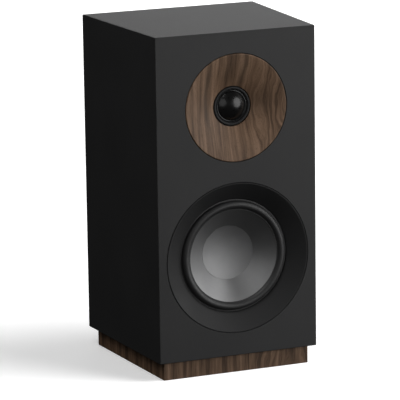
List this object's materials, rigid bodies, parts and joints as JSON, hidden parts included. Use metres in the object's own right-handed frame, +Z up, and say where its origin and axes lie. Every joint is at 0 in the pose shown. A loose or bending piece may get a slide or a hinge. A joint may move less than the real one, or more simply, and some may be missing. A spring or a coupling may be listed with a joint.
{
  "type": "bookshelf speaker",
  "caption": "Two-way ported bookshelf speaker: black vinyl cabinet on a walnut plinth, woofer in a funnel trim ring, dome tweeter in a walnut disc, screw binding posts at the back.",
  "frame": {"origin": "centre of the plinth's underside, on the surface that the speaker stands on", "axes": "+X to the right seen from the front, +Y from the front baffle to the back, +Z up"},
  "size_m": [0.1644, 0.157, 0.3005],
  "materials": {
    "vinyl_board": "matte black vinyl foil over fibreboard, fine grain",
    "raw_board": "bare fibreboard",
    "walnut_veneer": "satin walnut veneer, vertical grain",
    "satin_black_plastic": "satin black moulding",
    "moulded_black_plastic": "fine spark-textured black moulding",
    "surround_rubber": "soft satin black rubber",
    "aluminised_polymer": "brushed aluminised polymer",
    "coated_silk": "silk with a glossy black coating",
    "black_painted_steel": "black powder coat",
    "zinc_steel": "zinc plated",
    "black_steel": "black oxide",
    "ferrite": "ground dark ferrite",
    "plated_magnet": "nickel plated",
    "copper_wire": "enamelled copper",
    "former_paper": "brown varnished paper",
    "spider_cloth": "varnished woven cotton",
    "wadding_fibre": "bonded polyester fibre",
    "gasket_foam": "closed-cell foam",
    "gilt_brass": "polished gilt brass",
    "red_plastic": "satin red moulding",
    "black_knob_plastic": "satin black moulding",
    "circuit_board": "green solder resist",
    "capacitor_film": "yellow taped film",
    "resistor_cement": "white cement",
    "wire_insulation": "soft insulation"
  },
  "bodies": {
    "cabinet": {"front_baffle": "vinyl_board", "left_side_panel": "vinyl_board", "right_side_panel": "vinyl_board", "top_panel": "vinyl_board", "bottom_panel": "vinyl_board", "back_panel": "vinyl_board", "window_brace": "raw_board", "plinth": "walnut_veneer", "tweeter_waveguide": "walnut_veneer", "woofer_trim_ring": "satin_black_plastic", "tweeter_faceplate": "satin_black_plastic", "port_tube": "moulded_black_plastic", "terminal_cup": "moulded_black_plastic", "woofer_terminal_strip": "moulded_black_plastic", "tweeter_terminal_strip": "moulded_black_plastic", "woofer_surround": "surround_rubber", "tweeter_surround": "coated_silk", "woofer_basket": "black_painted_steel", "woofer_screws": "zinc_steel", "woofer_top_plate": "zinc_steel", "woofer_yoke": "zinc_steel", "tweeter_screws": "zinc_steel", "waveguide_screws": "zinc_steel", "tweeter_top_plate": "zinc_steel", "tweeter_yoke": "zinc_steel", "plinth_screws": "zinc_steel", "crossover_screws": "zinc_steel", "terminal_screws": "black_steel", "woofer_magnet": "ferrite", "tweeter_magnet": "ferrite", "grille_magnets": "plated_magnet", "crossover_inductors": "copper_wire", "woofer_tinsel_leads": "copper_wire", "woofer_spider": "spider_cloth", "acoustic_wadding": "wadding_fibre", "woofer_gasket": "gasket_foam", "terminal_gasket": "gasket_foam", "positive_post_stud": "gilt_brass", "negative_post_stud": "gilt_brass", "post_nuts_and_tags": "gilt_brass", "positive_post_collar": "red_plastic", "negative_post_collar": "black_knob_plastic", "crossover_board": "circuit_board", "crossover_capacitors": "capacitor_film", "crossover_resistors": "resistor_cement", "input_wires": "wire_insulation", "woofer_wires": "wire_insulation", "tweeter_wires": "wire_insulation"},
    "woofer_diaphragm": {"woofer_cone": "aluminised_polymer", "woofer_dust_cap": "aluminised_polymer", "woofer_coil_former": "former_paper", "woofer_voice_coil": "copper_wire"},
    "tweeter_diaphragm": {"tweeter_dome": "coated_silk", "tweeter_voice_coil": "copper_wire"},
    "positive_clamp": {"positive_clamp_washer": "gilt_brass"},
    "positive_knob": {"positive_post_knob": "red_plastic"},
    "negative_clamp": {"negative_clamp_washer": "gilt_brass"},
    "negative_knob": {"negative_post_knob": "black_knob_plastic"}
  },
  "joints": [
    {"name": "woofer_travel", "type": "slide", "parent": "cabinet", "child": "woofer_diaphragm", "axis": [0, -1, 0], "range_m": [-0.004, 0.004], "stiffness_N_per_m": 900, "deforming": ["woofer_surround", "woofer_spider", "woofer_tinsel_leads"]},
    {"name": "tweeter_travel", "type": "slide", "parent": "cabinet", "child": "tweeter_diaphragm", "axis": [0, -1, 0], "range_m": [-0.0003, 0.0003], "stiffness_N_per_m": 150, "deforming": ["tweeter_surround"]},
    {"name": "positive_knob_advance", "type": "slide", "parent": "cabinet", "child": "positive_clamp", "axis": [0, 1, 0], "range_m": [0, 0.0033]},
    {"name": "positive_knob_turn", "type": "hinge", "parent": "positive_clamp", "child": "positive_knob", "pos_m": [0.017, 0.0745, 0.095], "axis": [0, 1, 0], "range_deg": [0, 1440]},
    {"name": "negative_knob_advance", "type": "slide", "parent": "cabinet", "child": "negative_clamp", "axis": [0, 1, 0], "range_m": [0, 0.0033]},
    {"name": "negative_knob_turn", "type": "hinge", "parent": "negative_clamp", "child": "negative_knob", "pos_m": [-0.017, 0.0745, 0.095], "axis": [0, 1, 0], "range_deg": [0, 1440]}
  ],
  "couplings": [
    {"joint": "positive_knob_advance", "follows": "positive_knob_turn", "m_per_rad": 0.00012732},
    {"joint": "negative_knob_advance", "follows": "negative_knob_turn", "m_per_rad": 0.00012732}
  ]
}
